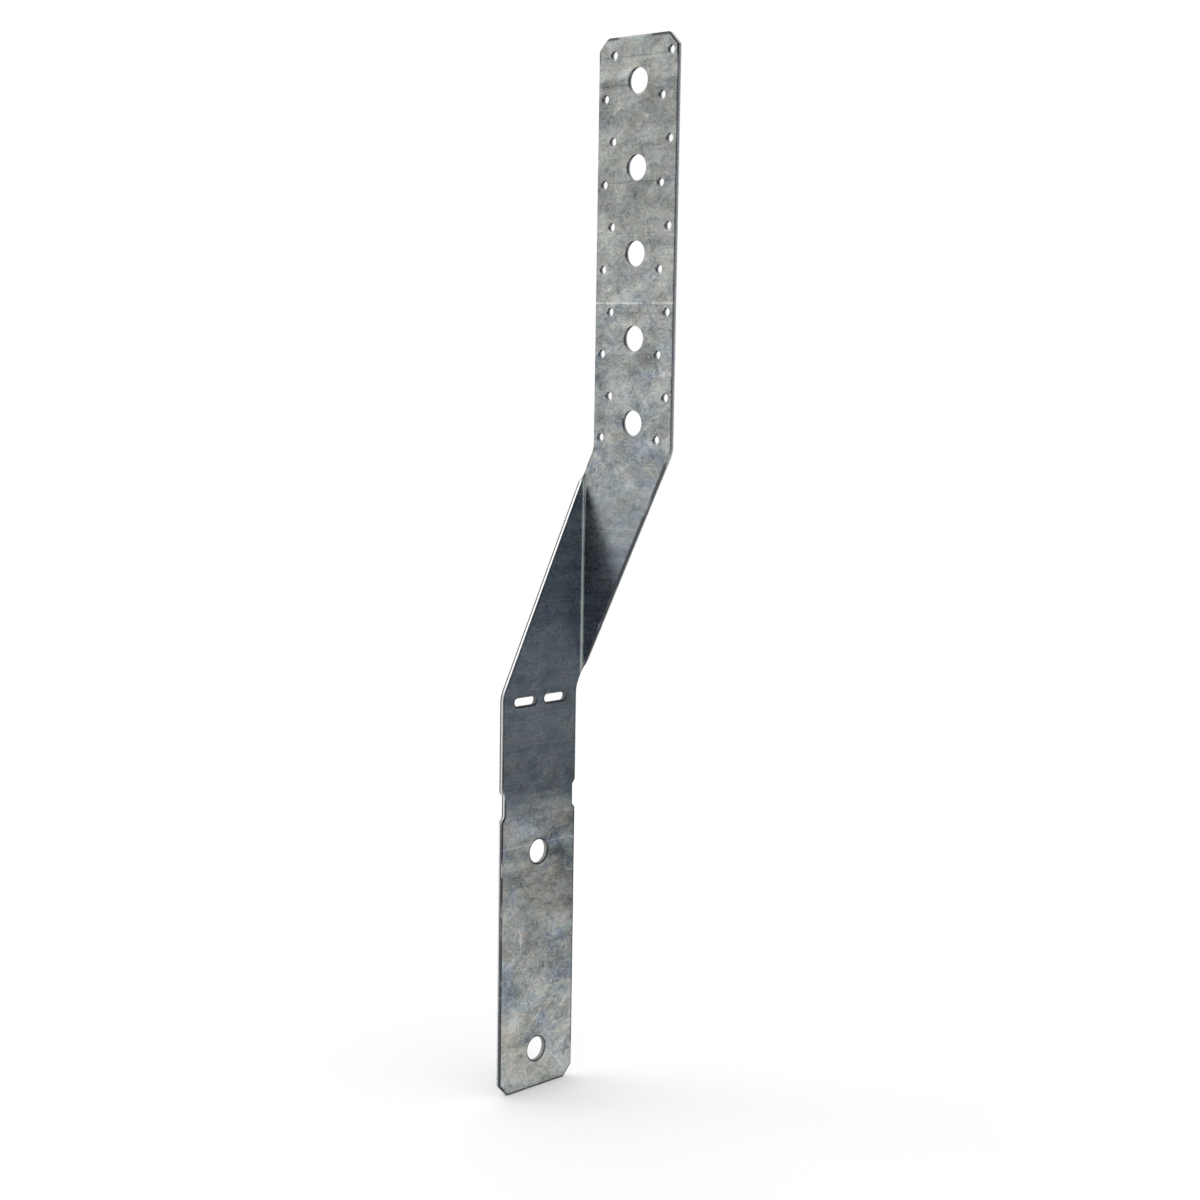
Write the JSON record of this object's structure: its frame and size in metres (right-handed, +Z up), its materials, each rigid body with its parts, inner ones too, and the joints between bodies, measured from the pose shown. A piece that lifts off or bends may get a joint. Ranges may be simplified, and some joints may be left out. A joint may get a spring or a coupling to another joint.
{
  "type": "foundation stud anchor",
  "caption": "Flat galvanised steel strap with an offset and a square fold: the upper leg bolts or nails to a stud, the lower leg is cast into a foundation.",
  "frame": {"origin": "centre of the middle bolt hole, in the stud leg's inner face", "axes": "+Z up along the strap, -Y out of the stud leg's inner face, +X out of the anchor leg's inner face"},
  "size_m": [0.0648, 0.0619, 0.5664],
  "materials": {
    "galvanised_steel": "hot-dip galvanised sheet, matt spangle"
  },
  "bodies": {
    "root": {"anchor_strap": "galvanised_steel"}
  },
  "joints": []
}
